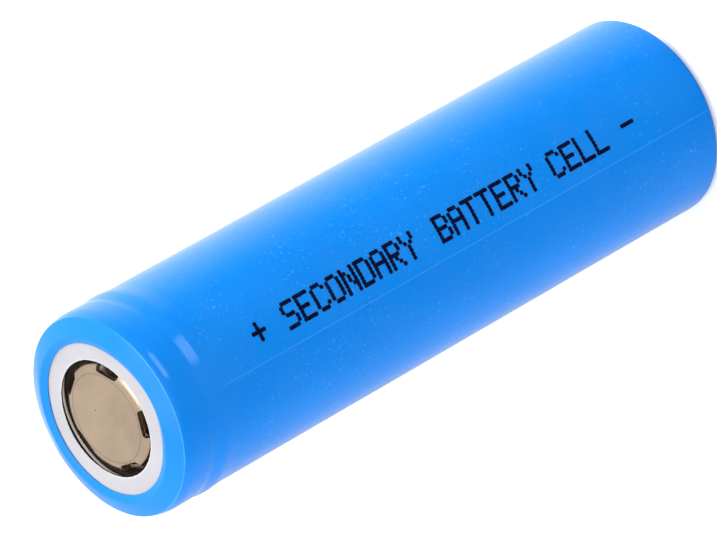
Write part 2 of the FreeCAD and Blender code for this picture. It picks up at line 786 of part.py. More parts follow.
def make_negative_tab():
    """Strip down the outside of the winding, then under the bottom insulator to the middle."""
    radius = "Sizes.negative_leg_radius"
    floor = "(Sizes.cell_length - Sizes.can_recess - Sizes.can_floor)"
    leg = curved_strip("negative_leg", radius, "Sizes.tab_thickness", "Sizes.negative_leg_front",
                       floor + " - Sizes.negative_leg_front", "-" + radius, "0")
    foot_block = block("negative_foot_block", floor + " - Sizes.tab_thickness", "Sizes.tab_thickness",
                       "-" + radius, "Sizes.negative_foot_reach", "Sizes.tab_width")
    limit = doc.addObject("Part::Cylinder", "negative_foot_limit")
    limit.Placement = FreeCAD.Placement(FreeCAD.Vector(), TO_X_AXIS)
    bind(limit, Radius=radius, Height="Sizes.tab_thickness",
         Placement__Base__x=floor + " - Sizes.tab_thickness")
    foot = doc.addObject("Part::Common", "negative_foot")
    foot.Base = foot_block
    foot.Tool = limit
    return fuse("negative_tab", [leg, foot])


def make_negative_tab_tape():
    """Tape over the leg of the negative tab."""
    tape = curved_strip("negative_tab_tape", "Sizes.negative_tape_radius", "Sizes.tab_tape_thickness",
                        "Sizes.negative_tape_front", "Sizes.negative_tape_height",
                        "-Sizes.negative_tape_radius", "0")
    tape.Label = "negative_tab_tape"
    stand_up(tape)
    return tape


# ---------------------------------------------------------------- checks and export

def check_document():
    for item in doc.Objects:
        if "Invalid" in item.State or "Error" in item.State:
            raise RuntimeError("%s is %s" % (item.Label, item.State))


def export(nodes):
    """Write every node's solid to its own file."""
    os.makedirs(PART_FOLDER, exist_ok=True)
    for node in nodes:
        shape = node.Shape
        if shape.isNull() or not shape.isValid() or not shape.Solids:
            raise RuntimeError("%s has no valid solid" % node.Label)
        shape.exportStep(os.path.join(PART_FOLDER, node.Label + ".step"))
        print("%-20s %2d solid(s) %10.3f mm3" % (node.Label, len(shape.Solids), shape.Volume))


def main():
    make_sheet()
    nodes = [
        make_sleeve(),
        make_washer(),
        make_can(),
        make_gasket(),
        make_cap(),
        disc_body("ptc_ring", "ptc_front", "ptc_thickness", "stack_radius", "ptc_bore"),
        disc_body("vent_disc", "vent_front", "vent_thickness", "stack_radius", "vent_bore"),
        make_diaphragm(),
        disc_body("cid_insulator", "cid_insulator_front", "cid_insulator_thickness",
                  "cid_radius", "cid_insulator_bore"),
        make_contact_plate(),
        make_positive_tab(),
        make_positive_tab_tape(),
        make_top_insulator(),
        *make_winding(),
        make_closing_tape(),
        make_centre_pin(),
        make_negative_tab(),
        make_negative_tab_tape(),
        disc_body("bottom_insulator", "bottom_insulator_front", "insulator_thickness",
                  "bottom_insulator_radius", "insulator_bore"),
    ]
    doc.recompute()
    check_document()
    export(nodes)


main()
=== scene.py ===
import math
import random

import bmesh
import bpy
import numpy as np
from mathutils import Matrix, Vector


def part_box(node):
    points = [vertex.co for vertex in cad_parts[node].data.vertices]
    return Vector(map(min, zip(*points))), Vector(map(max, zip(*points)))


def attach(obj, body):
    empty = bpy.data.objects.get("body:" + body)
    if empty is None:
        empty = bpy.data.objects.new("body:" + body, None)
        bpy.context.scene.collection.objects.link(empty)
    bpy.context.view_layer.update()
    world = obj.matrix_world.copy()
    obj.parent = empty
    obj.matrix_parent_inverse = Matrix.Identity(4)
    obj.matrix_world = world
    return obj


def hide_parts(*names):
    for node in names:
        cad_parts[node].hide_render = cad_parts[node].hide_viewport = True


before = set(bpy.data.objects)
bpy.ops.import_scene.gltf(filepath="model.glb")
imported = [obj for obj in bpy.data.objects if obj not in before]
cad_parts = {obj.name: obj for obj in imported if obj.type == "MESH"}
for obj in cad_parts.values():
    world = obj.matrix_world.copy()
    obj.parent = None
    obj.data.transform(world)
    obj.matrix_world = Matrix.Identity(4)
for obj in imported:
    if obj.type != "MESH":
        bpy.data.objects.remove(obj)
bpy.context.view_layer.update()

# Looks of a cylindrical cell that stands on its negative end. Profiles are written in millimetres as
# (depth below the positive end, radius), the way the part's own source measures them.
MM = 0.001
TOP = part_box("outer_sleeve")[1].z / MM
PRINT_AZIMUTH = math.radians(-90.0)
SEAM_AZIMUTH = math.radians(-105.45)
WINDOW_AZIMUTH = math.radians(-43.7)
WINDOW_COUNT = 5
WINDOW_LOW, WINDOW_HIGH, WINDOW_HALF, WINDOW_BEND = 4.12, 5.30, 1.23, 0.35
BODY_RADIUS = 9.075
FILM = 0.10
SHARP = math.radians(35.0)
TURN_STEPS = 240


# ---------------------------------------------------------------- camera, floor and light

def link(obj):
    bpy.context.scene.collection.objects.link(obj)
    return obj


def make_camera():
    data = bpy.data.cameras.new("camera")
    data.sensor_width = 36.0
    data.lens = 369.9
    data.clip_start = 0.01
    data.clip_end = 20.0
    camera = link(bpy.data.objects.new("camera", data))
    # the camera's own right, up and forward directions; it is turned so that the cell lies aslant
    right = Vector((-0.4940, -0.5169, -0.6991))
    up = Vector((0.8695, -0.2966, -0.3951))
    forward = Vector((0.0031, 0.8031, -0.5959))
    turn = Matrix((right, up, -forward)).transposed().to_4x4()
    camera.matrix_world = Matrix.Translation((-0.00134, -0.49538, 0.40243)) @ turn
    bpy.context.scene.camera = camera


def add_softbox(name, place, target, width, height, radiance):
    """Area light that doesn't show to the camera, given by the radiance of its face."""
    data = bpy.data.lights.new(name, "AREA")
    data.shape = "RECTANGLE"
    data.size = width
    data.size_y = height
    data.energy = radiance * math.pi * width * height
    light = link(bpy.data.objects.new(name, data))
    light.location = place
    light.rotation_mode = "QUATERNION"
    light.rotation_quaternion = (Vector(target) - Vector(place)).to_track_quat("-Z", "Y")
    light.visible_camera = False
    return light


def make_studio():
    world = bpy.data.worlds.new("studio")
    world.use_nodes = True
    backdrop = world.node_tree.nodes["Background"]
    backdrop.inputs["Color"].default_value = (0.96, 0.98, 1.0, 1.0)
    backdrop.inputs["Strength"].default_value = 0.72
    bpy.context.scene.world = world
    bpy.context.scene.view_settings.view_transform = "Standard"
    # these light the cell without showing as hot spots on its gloss
    for fill in (add_softbox("overhead", (0.05, 0.05, 0.90), (0, 0, 0.03), 0.60, 0.60, 5.5),
                 add_softbox("side_wall", (0.42, 0.06, 0.16), (0, 0, 0.03), 0.44, 0.30, 4.0),
                 add_softbox("back_fill", (-0.40, 0.16, 0.14), (0, 0, 0.03), 0.44, 0.28, 2.8),
                 add_softbox("front_key", (0.04, -0.50, 0.86), (0, 0, 0.06), 0.46, 0.36, 3.0)):
        fill.visible_glossy = False
    # and these only make highlights, on the cap's near shoulder and on the film behind the crease
    cap_glint = add_softbox("cap_glint", (0.22, -0.40, 0.84), (0, 0, 0.064), 0.50, 0.44, 3.2)
    neck_glint = add_softbox("neck_glint", (0.054, -0.155, 0.016), (0, -0.009, 0.062), 0.082, 0.034, 3.0)
    neck_glint.data.color = (0.80, 1.0, 1.0)
    for glint in (cap_glint, neck_glint):
        glint.visible_diffuse = False


def make_floor():
    size = 3.0
    mesh = bpy.data.meshes.new("floor")
    corners = [(-size, -size, 0), (size, -size, 0), (size, size, 0), (-size, size, 0)]
    mesh.from_pydata(corners, [], [(0, 1, 2, 3)])
    floor = link(bpy.data.objects.new("floor", mesh))
    paper = Graph("floor_paper")
    tone = paper.ramp(paper.noise(9.0, 2.0), [(0.3, (0.60, 0.60, 0.60)), (0.7, (0.62, 0.62, 0.62))])
    paper.surface(tone, roughness=0.9)
    paper.shader.inputs["Emission Color"].default_value = (1.0, 1.0, 1.0, 1.0)
    # turn is the direction seen from the cell's front, 0 towards -Y and positive towards +X
    x, y, _ = paper.parts(paper.place)
    turn = paper.math("ARCTAN2", x, paper.math("SUBTRACT", -7.5 * MM, y))
    # painted pool of light: on top of its even glow, the floor glows brighter over a band of directions on
    # the +X side
    off_pool = paper.math("ABSOLUTE", paper.math("SUBTRACT", turn, math.radians(121)))
    glow_and_painted_pool = paper.math("ADD", paper.steps(off_pool, math.radians(6), math.radians(38), 1.3, 0.0), 0.34)
    # painted reflection: for glossy rays only, the floor turns black and glows by direction, dark in front of
    # the cell and bright at its sides and back, for the film to mirror
    right = paper.steps(turn, math.radians(60), math.radians(130), 0.0, 1.05)
    left = paper.steps(turn, math.radians(-165), math.radians(-30), 0.64, 0.0)
    painted_reflection = paper.math("ADD", paper.math("ADD", right, left), 0.03)
    mirrors = paper.nodes.new("ShaderNodeLightPath").outputs["Is Glossy Ray"]
    paper.wire(paper.mix(mirrors, tone, (0.0, 0.0, 0.0)), paper.shader.inputs["Base Color"])
    difference = paper.math("MULTIPLY", mirrors, paper.math("SUBTRACT", painted_reflection, glow_and_painted_pool))
    paper.wire(paper.math("ADD", glow_and_painted_pool, difference), paper.shader.inputs["Emission Strength"])
    mesh.materials.append(paper.material)


# ---------------------------------------------------------------- node materials

class Graph:
    """A node material with a Principled shader, in the part's own coordinates."""

    def __init__(self, name):
        self.material = bpy.data.materials.new(name)
        self.material.use_nodes = True
        self.nodes = self.material.node_tree.nodes
        self.shader = self.nodes["Principled BSDF"]
        self.place = self.nodes.new("ShaderNodeTexCoord").outputs["Object"]

    def wire(self, source, socket):
        """Connect a socket or set a plain value."""
        if isinstance(source, bpy.types.NodeSocket):
            self.material.node_tree.links.new(source, socket)
        elif isinstance(source, tuple) and len(source) == 3 and socket.type == "RGBA":
            socket.default_value = (*source, 1.0)
        else:
            socket.default_value = source

    def stretched(self, scale):
        node = self.nodes.new("ShaderNodeMapping")
        self.wire(self.place, node.inputs["Vector"])
        node.inputs["Scale"].default_value = scale
        return node.outputs["Vector"]

    def noise(self, scale, detail=3.0, stretch=None, roughness=0.55):
        node = self.nodes.new("ShaderNodeTexNoise")
        self.wire(self.stretched(stretch) if stretch else self.place, node.inputs["Vector"])
        node.inputs["Scale"].default_value = scale
        node.inputs["Detail"].default_value = detail
        node.inputs["Roughness"].default_value = roughness
        return node.outputs["Fac"]

    def specks(self, scale, size, share):
        """1 inside sparse round specks and 0 elsewhere; share is how many of the cells hold one."""
        node = self.nodes.new("ShaderNodeTexVoronoi")
        self.wire(self.place, node.inputs["Vector"])
        node.inputs["Scale"].default_value = scale
        spot = self.steps(node.outputs["Distance"], size, size * 0.45)
        chance = self.math("GREATER_THAN", self.parts(node.outputs["Color"])[0], 1.0 - share)
        return self.math("MULTIPLY", spot, chance)

    def parts(self, vector):
        node = self.nodes.new("ShaderNodeSeparateXYZ")
        self.wire(vector, node.inputs[0])
        return node.outputs

    def math(self, operation, first, second=0.0):
        node = self.nodes.new("ShaderNodeMath")
        node.operation = operation
        self.wire(first, node.inputs[0])
        self.wire(second, node.inputs[1])
        return node.outputs[0]

    def steps(self, value, low, high, start=0.0, end=1.0):
        """start where value is low, end where it is high, smoothly between."""
        node = self.nodes.new("ShaderNodeMapRange")
        node.interpolation_type = "SMOOTHSTEP"
        for socket, given in zip(("Value", "From Min", "From Max", "To Min", "To Max"),
                                 (value, low, high, start, end)):
            self.wire(given, node.inputs[socket])
        return node.outputs["Result"]

    def mix(self, factor, first, second):
        node = self.nodes.new("ShaderNodeMix")
        node.data_type = "RGBA"
        self.wire(factor, node.inputs[0])
        self.wire(first, node.inputs[6])
        self.wire(second, node.inputs[7])
        return node.outputs[2]

    def ramp(self, factor, stops):
        node = self.nodes.new("ShaderNodeValToRGB")
        self.wire(factor, node.inputs[0])
        points = node.color_ramp.elements
        while len(points) < len(stops):
            points.new(0.5)
        for point, (position, colour) in zip(points, stops):
            point.position = position
            point.color = (*colour, 1.0)
        return node.outputs["Color"]

    def bump(self, height, distance_mm, strength=1.0, under=None):
        node = self.nodes.new("ShaderNodeBump")
        node.inputs["Strength"].default_value = strength
        node.inputs["Distance"].default_value = distance_mm * MM
        self.wire(height, node.inputs["Height"])
        if under:
            self.wire(under, node.inputs["Normal"])
        return node.outputs["Normal"]

    def surface(self, colour, roughness=0.5, metallic=0.0, normal=None, specular=0.5):
        self.wire(colour, self.shader.inputs["Base Color"])
        self.wire(roughness, self.shader.inputs["Roughness"])
        self.shader.inputs["Metallic"].default_value = metallic
        self.shader.inputs["Specular IOR Level"].default_value = specular
        if normal:
            self.wire(normal, self.shader.inputs["Normal"])
        return self.material

    def axis_angle(self):
        x, y, _ = self.parts(self.place)
        return self.math("ARCTAN2", y, x)

    def axis_radius(self):
        x, y, _ = self.parts(self.place)
        return self.math("SQRT", self.math("ADD", self.math("MULTIPLY", x, x), self.math("MULTIPLY", y, y)))


def film_material():
    g = Graph("shrink_film")
    cloud = g.noise(95.0, 3.0)
    colour = g.ramp(cloud, [(0.30, (0.0, 0.197, 0.690)), (0.70, (0.0, 0.210, 0.738))])
    streak = g.noise(900.0, 2.0, stretch=(1.0, 1.0, 0.04))
    colour = g.mix(g.steps(streak, 0.55, 0.80, 0.0, 0.08), colour, (0.01, 0.29, 0.94))
    # double film on one side of the seam, and the seam itself
    offset = g.math("SUBTRACT", g.axis_angle(), SEAM_AZIMUTH)
    overlap = g.math("MULTIPLY", g.steps(offset, -0.012, 0.002, 1.0, 0.0), g.steps(offset, -0.60, -0.35))
    colour = g.mix(g.math("MULTIPLY", overlap, 0.30), colour, (0.0, 0.180, 0.640))
    line = g.steps(g.math("ABSOLUTE", offset), 0.003, 0.010, 0.22, 0.0)
    height = g.parts(g.place)[2]
    behind_neck = g.steps(height, (TOP - 7.5) * MM, (TOP - 4.5) * MM, 1.0, 0.0)
    colour = g.mix(g.math("MULTIPLY", line, behind_neck), colour, (0.08, 0.36, 0.95))
    # dust: ragged flecks in drifts, finer round grains, and a few rusty ones near the neck
    drifts = g.steps(g.noise(210.0, 3.0), 0.40, 0.66, 0.35, 1.0)
    drifts = g.math("MULTIPLY", drifts, g.steps(height, (TOP - 7.5) * MM, (TOP - 1.5) * MM, 1.0, 0.25))
    flecks = g.steps(g.noise(3300.0, 3.0, roughness=0.65), 0.60, 0.68)
    grains = g.specks(2300.0, 0.24, 0.30)
    colour = g.mix(g.math("MULTIPLY", flecks, g.math("MULTIPLY", drifts, 0.32)), colour, (0.10, 0.46, 0.98))
    colour = g.mix(g.math("MULTIPLY", grains, g.math("MULTIPLY", drifts, 0.18)), colour, (0.10, 0.46, 0.98))
    # painted highlight: a thin light line along the crease, in places
    crease_highlight = g.math("ABSOLUTE", g.math("SUBTRACT", height, (TOP - CREASE_DEPTH) * MM))
    crease_highlight = g.steps(crease_highlight, 0.02 * MM, 0.06 * MM, 0.30, 0.0)
    in_places = g.steps(g.noise(70.0, 1.0), 0.40, 0.60)
    colour = g.mix(g.math("MULTIPLY", crease_highlight, in_places), colour, (0.12, 0.50, 1.0))
    near_neck = g.steps(height, (TOP - 9.0) * MM, (TOP - 6.0) * MM)
    rusty = g.math("MULTIPLY", g.specks(900.0, 0.10, 0.10), near_neck)
    colour = g.mix(g.math("MULTIPLY", rusty, 0.35), colour, (0.30, 0.32, 0.42))
    rough = g.steps(g.noise(260.0, 3.0), 0.3, 0.7, 0.12, 0.18)
    grain = g.bump(g.noise(5200.0, 2.0), 0.006, 0.35)
    normal = g.bump(g.noise(620.0, 2.0, stretch=(1.0, 1.0, 0.35)), 0.03, 0.30, grain)
    return g.surface(colour, rough, 0.0, normal)


def washer_material():
    """White board, lighter towards the bore's edge; its back and the lower part of its bore wall are painted
    near black as shade.
    """
    g = Graph("washer_paper")
    fibre = g.noise(1500.0, 5.0, stretch=(1.0, 0.35, 1.0))
    pulp = g.noise(260.0, 3.0)
    colour = g.ramp(pulp, [(0.3, (0.402, 0.395, 0.416)), (0.7, (0.440, 0.432, 0.454))])
    colour = g.mix(g.steps(fibre, 0.60, 0.75, 0.0, 0.30), colour, (0.485, 0.476, 0.495))
    rim = g.steps(g.axis_radius(), 5.24 * MM, 5.42 * MM, 0.7, 0.0)
    colour = g.mix(rim, colour, (0.58, 0.57, 0.58))
    # painted shade: inside 6 mm, the back and the lower bore wall go near black along a ragged line
    ragged = g.math("ADD", g.parts(g.place)[2], g.math("MULTIPLY", g.math("SUBTRACT", fibre, 0.5), 0.10 * MM))
    back = g.steps(ragged, (TOP - 0.425) * MM, (TOP - 0.400) * MM, 1.0, 0.0)
    colour = g.mix(g.math("MULTIPLY", back, g.steps(g.axis_radius(), 6.0 * MM, 6.2 * MM, 1.0, 0.0)),
                   colour, (0.022, 0.014, 0.010))
    normal = g.bump(fibre, 0.02, 0.5, g.bump(pulp, 0.05, 0.4))
    return g.surface(colour, 0.72, 0.0, normal, specular=0.35)


def nickel_material():
    g = Graph("cap_nickel")
    mottle = g.noise(260.0, 4.0, stretch=(1.0, 0.7, 1.0))
    colour = g.ramp(mottle, [(0.32, (0.640, 0.480, 0.345)), (0.52, (0.740, 0.555, 0.396)),
                             (0.70, (0.800, 0.605, 0.432))])
    # painted shade: a thin dark line along the coined groove
    coin_groove_shade = g.math("ABSOLUTE", g.math("SUBTRACT", g.axis_radius(), 3.98 * MM))
    colour = g.mix(g.steps(coin_groove_shade, 0.03 * MM, 0.09 * MM, 0.40, 0.0), colour, (0.30, 0.22, 0.14))
    # painted shade: the cap turns darker and greyer deeper down, in the recess
    deep_shade = g.steps(g.parts(g.place)[2], (TOP - 1.4) * MM, (TOP - 0.8) * MM, 0.6, 0.0)
    colour = g.mix(deep_shade, colour, (0.36, 0.32, 0.28))
    pits = g.specks(900.0, 0.12, 0.10)
    colour = g.mix(g.math("MULTIPLY", pits, 0.6), colour, (0.16, 0.11, 0.07))
    rough = g.steps(g.noise(700.0, 3.0), 0.3, 0.7, 0.24, 0.36)
    scratches = g.noise(2600.0, 2.0, stretch=(1.0, 0.06, 1.0))
    normal = g.bump(scratches, 0.006, 0.35, g.bump(g.noise(420.0, 2.0), 0.03, 0.30))
    return g.surface(colour, rough, 1.0, normal)


def metal_material(name, low, high, rough=(0.22, 0.34)):
    """Drawn or rolled sheet metal with fine lines and cloudy tone."""
    g = Graph(name)
    cloud = g.noise(240.0, 3.0)
    colour = g.ramp(cloud, [(0.3, low), (0.7, high)])
    lines = g.noise(2400.0, 3.0, stretch=(1.0, 1.0, 0.1))
    roughness = g.steps(lines, 0.3, 0.7, *rough)
    return g.surface(colour, roughness, 1.0, g.bump(lines, 0.006, 0.5))


def dull_material(name, low, high, roughness, grain=900.0, bump_mm=0.01):
    """Plastic, board, coating or film: two close tones, a fine grain and a slight bump."""
    g = Graph(name)
    tone = g.noise(grain * 0.3, 3.0)
    colour = g.ramp(tone, [(0.3, low), (0.7, high)])
    fine = g.noise(grain * 2.0, 3.0)
    rough = g.steps(fine, 0.3, 0.7, roughness - 0.05, roughness + 0.05)
    return g.surface(colour, rough, 0.0, g.bump(fine, bump_mm, 0.5))


def ink_material():
    g = Graph("print_ink")
    wear = g.noise(1800.0, 3.0)
    colour = g.ramp(wear, [(0.35, (0.0004, 0.0016, 0.022)), (0.80, (0.0010, 0.0060, 0.042))])
    rough = g.steps(wear, 0.3, 0.7, 0.50, 0.62)
    return g.surface(colour, rough, 0.0, g.bump(wear, 0.004, 0.5), specular=0.05)


# ---------------------------------------------------------------- turned pieces

def rounded(corners, arc_step=0.06):
    """Closed outline from (depth, radius, fillet) corners, each fillet divided into short chords."""
    outline = []
    count = len(corners)
    for index, (depth, radius, fillet) in enumerate(corners):
        here = np.array((depth, radius))
        before = np.array(corners[index - 1][:2]) - here
        after = np.array(corners[(index + 1) % count][:2]) - here
        before /= np.linalg.norm(before)
        after /= np.linalg.norm(after)
        half = math.acos(max(-1.0, min(1.0, float(before @ after)))) / 2
        if not fillet or half > math.radians(89.9):
            outline.append(here)
            continue
        middle = (before + after) / np.linalg.norm(before + after)
        centre = here + middle * fillet / math.sin(half)
        start = here + before * fillet / math.tan(half) - centre
        end = here + after * fillet / math.tan(half) - centre
        sweep = math.pi - 2 * half
        pieces = max(2, int(math.ceil(fillet * sweep / arc_step)))
        for step in range(pieces + 1):
            share = step / pieces
            blend = (start * math.sin((1 - share) * sweep) + end * math.sin(share * sweep)) / math.sin(sweep)
            outline.append(centre + blend)
    return np.array(outline)


def divided(outline, longest, plain_from=None):
    """The same closed outline with no side longer than longest(depth, radius); plain_from starts the
    sides that stay whole."""
    points = []
    count = len(outline)
    for index in range(count):
        here = outline[index]
        following = outline[(index + 1) % count]
        middle = (here + following) / 2
        pieces = max(1, int(math.ceil(np.linalg.norm(following - here) / longest(*middle))))
        if plain_from is not None and index >= plain_from:
            pieces = 1
        points += [here + (following - here) * step / pieces for step in range(pieces)]
    return np.array(points)


def add_piece(name, vertices, faces, material, replaces=()):
    """Make a piece on the cell's body, smooth except where it folds by more than SHARP."""
    mesh = bpy.data.meshes.new(name)
    mesh.from_pydata([tuple(v) for v in vertices], [], faces)
    mesh.validate()
    mesh.polygons.foreach_set("use_smooth", [True] * len(mesh.polygons))
    mesh.set_sharp_from_angle(angle=SHARP)
    mesh.materials.append(material)
    piece = link(bpy.data.objects.new(name, mesh))
    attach(piece, "cell")
    if replaces:
        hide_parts(*replaces)
    return piece


def swept(outline, azimuths, shift=None):
    """Vertices and faces of a closed outline turned about the axis; shift bends the surface."""
    count, turns = len(outline), len(azimuths)
    depth = np.repeat(outline[:, :1], turns, axis=1)
    radius = np.repeat(outline[:, 1:], turns, axis=1)
    angle = np.repeat(np.array(azimuths)[None, :], count, axis=0)
    if shift is not None:
        depth, radius = shift(depth, radius, angle)
    points = np.stack([radius * np.cos(angle), radius * np.sin(angle), TOP - depth], axis=-1) * MM
    faces = []
    for row in range(count):
        below = (row + 1) % count
        for turn in range(turns):
            beside = (turn + 1) % turns
            faces.append((row * turns + turn, below * turns + turn,
                          below * turns + beside, row * turns + beside))
    return points.reshape(-1, 3), faces


def even_azimuths(count):
    return [2 * math.pi * index / count - math.pi for index in range(count)]


# ---------------------------------------------------------------- sleeve

CREST = (0.02, 7.46)
FRONT = [(0.22, 6.80, 0.03), (0.0, 7.34, 0.25), (*CREST, 0.0)]
LIP_SWEEP = math.radians(8)
LIP_STEPS, SIDE_STEPS = 12, 10
CREASE_DEPTH, CREASE_RADIUS, CREASE_ROUND = 0.68, 8.87, 0.04
FRONT_END = 1.95
FRONT_RADIUS = 9.105
SIDE = [(3.30, FRONT_RADIUS, 1.6), (3.92, 9.045, 0.8), (5.02, 9.188, 0.9), (5.35, 9.188, 1.2),
        (6.70, 9.075, 6.0)]
REAR_ROUND = 0.81
REAR_WINDOW = 7.40
SLEEVE_TURN_STEPS = 252
FINE_STEP, PLAIN_STEP = 0.085, 0.45
SEAM_STEPS, SEAM_STEP = 14, 0.045


def arc_between(start, end, sweep, steps):
    """Points of an outward bulging arc from start to end, both left out; sweep is its whole turn."""
    start, end = np.array(start), np.array(end)
    chord = end - start
    outward = np.array((-chord[1], chord[0])) / np.linalg.norm(chord)
    bend = np.linalg.norm(chord) / 2 / math.sin(sweep / 2)
    centre = (start + end) / 2 - outward * bend * math.cos(sweep / 2)
    along = chord / np.linalg.norm(chord)
    turns = [sweep * (step / steps - 0.5) for step in range(1, steps)]
    return [(*(centre + bend * (outward * math.cos(turn) + along * math.sin(turn))), 0.0) for turn in turns]


def front_arcs():
    """The cone-like lip from the crest to the crease, the crease, and the side that ends upright."""
    crease = (CREASE_DEPTH, CREASE_RADIUS)
    lean = math.atan2(FRONT_RADIUS - CREASE_RADIUS, FRONT_END - CREASE_DEPTH)
    lip = arc_between(CREST, crease, LIP_SWEEP, LIP_STEPS)
    side = arc_between(crease, (FRONT_END, FRONT_RADIUS), 2 * lean, SIDE_STEPS)
    return [*lip, (*crease, CREASE_ROUND), *side, (FRONT_END, FRONT_RADIUS, 0.0)]


def sleeve_outline():
    """Outer surface from the mouth to the rear window, then the inner surface back to the mouth."""
    outer = [*FRONT, *front_arcs(), *SIDE,
             (TOP, BODY_RADIUS, REAR_ROUND), (TOP, REAR_WINDOW, 0.03)]
    inner = [(TOP - FILM, REAR_WINDOW, 0.03), (TOP - FILM, BODY_RADIUS - FILM, REAR_ROUND - FILM)]
    inner += [(depth, radius - FILM, 0.0) for depth, radius, _ in reversed(SIDE)]
    # under the lip the film is pressed thinner, over the can's crimp
    inner += [(FRONT_END, FRONT_RADIUS - FILM, 0.0), (1.30, 8.965, 0.0), (0.76, 8.80, 0.05),
              (0.424, 8.287, 0.0), (0.18, 7.74, 0.0), (FILM, 7.50, 0.0), (0.22 + FILM, 6.80, 0.03)]
    return outer, inner


def bell(value, centre, width):
    return np.exp(-((value - centre) / width) ** 2)


def turned_by(angle, azimuth):
    """Signed angle from an azimuth, in -pi..pi."""
    return (angle - azimuth + math.pi) % (2 * math.pi) - math.pi


def sleeve_relief(depth, angle):
    """How far the film stands proud of its plain profile: seam, crease, slack waves and neck wrinkles."""
    arc = turned_by(angle, SEAM_AZIMUTH) * BODY_RADIUS
    lap = 1 / (1 + np.exp(np.clip(arc / 0.05, -40, 40)))
    lap *= 1 / (1 + np.exp(np.clip(-(arc + 3.2) / 0.5, -40, 40)))
    height = 0.007 * bell(arc, 0.0, 0.10) + 0.004 * lap
    height += 0.014 * bell(depth, CREASE_DEPTH, 0.05)
    draw = random.Random(7)
    for _ in range(9):
        turns = draw.randint(2, 9)
        pitch = draw.uniform(12.0, 60.0)
        phase = draw.uniform(0, 2 * math.pi)
        height += 0.0011 * np.sin(turns * angle + 2 * math.pi * depth / pitch + phase)
    for _ in range(26):
        azimuth = draw.uniform(-math.pi, math.pi)
        centre = draw.uniform(1.6, 7.5)
        wide = draw.uniform(0.5, 1.8)
        long = draw.uniform(0.25, 0.9)
        tall = draw.uniform(-0.010, 0.008)
        height += tall * bell(turned_by(angle, azimuth) * BODY_RADIUS, 0.0, wide) * bell(depth, centre, long)
    return height


def bend_sleeve(outer_rows):
    def shift(depth, radius, angle):
        relief = sleeve_relief(depth, angle)
        rows = np.arange(depth.shape[0])[:, None]
        outer = rows < outer_rows
        on_side = np.clip((radius - 8.6) / 0.4, 0, 1)
        radius = radius + np.where(outer, relief * on_side, 0.0)
        # the cut edge of the mouth isn't quite round, and the rear fold is gathered into shallow pleats
        wander = 0.010 * np.sin(5 * angle + 2.0) + 0.006 * np.sin(11 * angle) - 0.04
        wander = wander + 0.27 * bell(turned_by(angle, math.radians(-97)), 0.0, math.radians(23))
        wander = wander - 0.10 * bell(turned_by(angle, math.radians(55)), 0.0, math.radians(32))
        at_mouth = np.clip((7.5 - radius) / 0.7, 0, 1) * (depth < 1.0)
        radius = radius + wander * at_mouth
        pleat = 0.012 * (1 + np.sin(34 * angle + 1.5 * np.sin(3 * angle))) / 2
        at_rear = (depth > TOP - 0.02) * np.clip((8.4 - radius) / 0.9, 0, 1) * outer
        depth = depth - pleat * at_rear
        return depth, radius
    return shift


def make_sleeve(material):
    outer, inner = sleeve_outline()
    outline = rounded(outer + inner)

    def longest(depth, radius):
        return FINE_STEP if depth < 7.0 or depth > TOP - 1.0 else PLAIN_STEP

    def rear_edge(points):
        return int(np.argmax((points[:, 0] > TOP - 0.5 * FILM) & (points[:, 1] < REAR_WINDOW + 0.05)))

    outline = divided(outline, longest, rear_edge(outline) + 2)
    azimuths = set(even_azimuths(SLEEVE_TURN_STEPS))
    for step in range(-SEAM_STEPS, SEAM_STEPS + 1):
        azimuths.add(SEAM_AZIMUTH + step * SEAM_STEP / BODY_RADIUS)
    vertices, faces = swept(outline, sorted(azimuths), bend_sleeve(rear_edge(outline) + 1))
    add_piece("shrink_sleeve", vertices, faces, material, replaces=("outer_sleeve",))


# ---------------------------------------------------------------- washer, can and seal

def make_washer(material):
    outline = rounded([(0.36, 5.22, 0.05), (0.34, 6.80, 0.0), (0.12, 7.50, 0.0), (0.195, 7.76, 0.03),
                       (0.33, 7.76, 0.03), (0.32, 7.50, 0.0), (0.54, 6.80, 0.0), (0.56, 5.22, 0.05)], 0.02)
    outline = divided(outline, lambda depth, radius: 0.12)

    def shift(depth, radius, angle):
        draw = random.Random(3)
        inner = np.clip((6.7 - radius) / 1.2, 0, 1)
        sag = 0.010 * np.sin(2 * angle + 1.0) + 0.006 * np.sin(3 * angle + 2.2)
        wide = 0.10 * bell(turned_by(angle, math.radians(95)), 0.0, math.radians(38))
        fray = sum(0.0035 * np.sin(draw.randint(14, 60) * angle + draw.uniform(0, 6.3)) for _ in range(6))
        return depth + sag * inner, radius + (fray + wide) * np.clip((5.8 - radius) / 0.5, 0, 1)

    vertices, faces = swept(outline, even_azimuths(360), shift)
    add_piece("washer_ring", vertices, faces, material, replaces=("insulating_washer",))


def make_can(material):
    rear = TOP - 0.12
    inner = 8.70
    outline = rounded([
        (0.91, 5.74, 0.03), (0.34, 7.50, 0.6), (0.34, 8.98, 1.20), (3.40, 8.98, 0.35), (3.90, 7.65, 0.25),
        (4.45, 7.65, 0.25), (5.05, 9.06, 0.35), (5.35, 9.06, 0.0), (6.70, 8.95, 0.0), (rear, 8.95, 0.685),
        (rear, 7.33, 0.012), (rear - 0.03, 7.33, 0.01), (rear - 0.03, 7.25, 0.01), (rear, 7.25, 0.012),
        (rear, 0.0, 0.0), (rear - 0.30, 0.0, 0.0), (rear - 0.30, inner, 0.15), (6.70, inner, 0.0),
        (5.222, 8.81, 0.10), (4.622, 7.40, 0.50), (3.728, 7.40, 0.50), (3.228, 8.73, 0.10),
        (0.59, 8.73, 0.95), (0.59, 7.45, 0.6), (1.178, 5.738, 0.03), (1.12, 5.60, 0.03),
        (1.065, 5.636, 0.015), (1.045, 5.662, 0.015)], 0.05)
    outline = divided(outline, lambda depth, radius: 0.5 if depth < 8 or depth > TOP - 1 else 6.0)
    vertices, faces = swept(outline, even_azimuths(TURN_STEPS))
    piece = add_piece("steel_can", vertices, faces, material, replaces=("can",))
    merge_axis(piece)


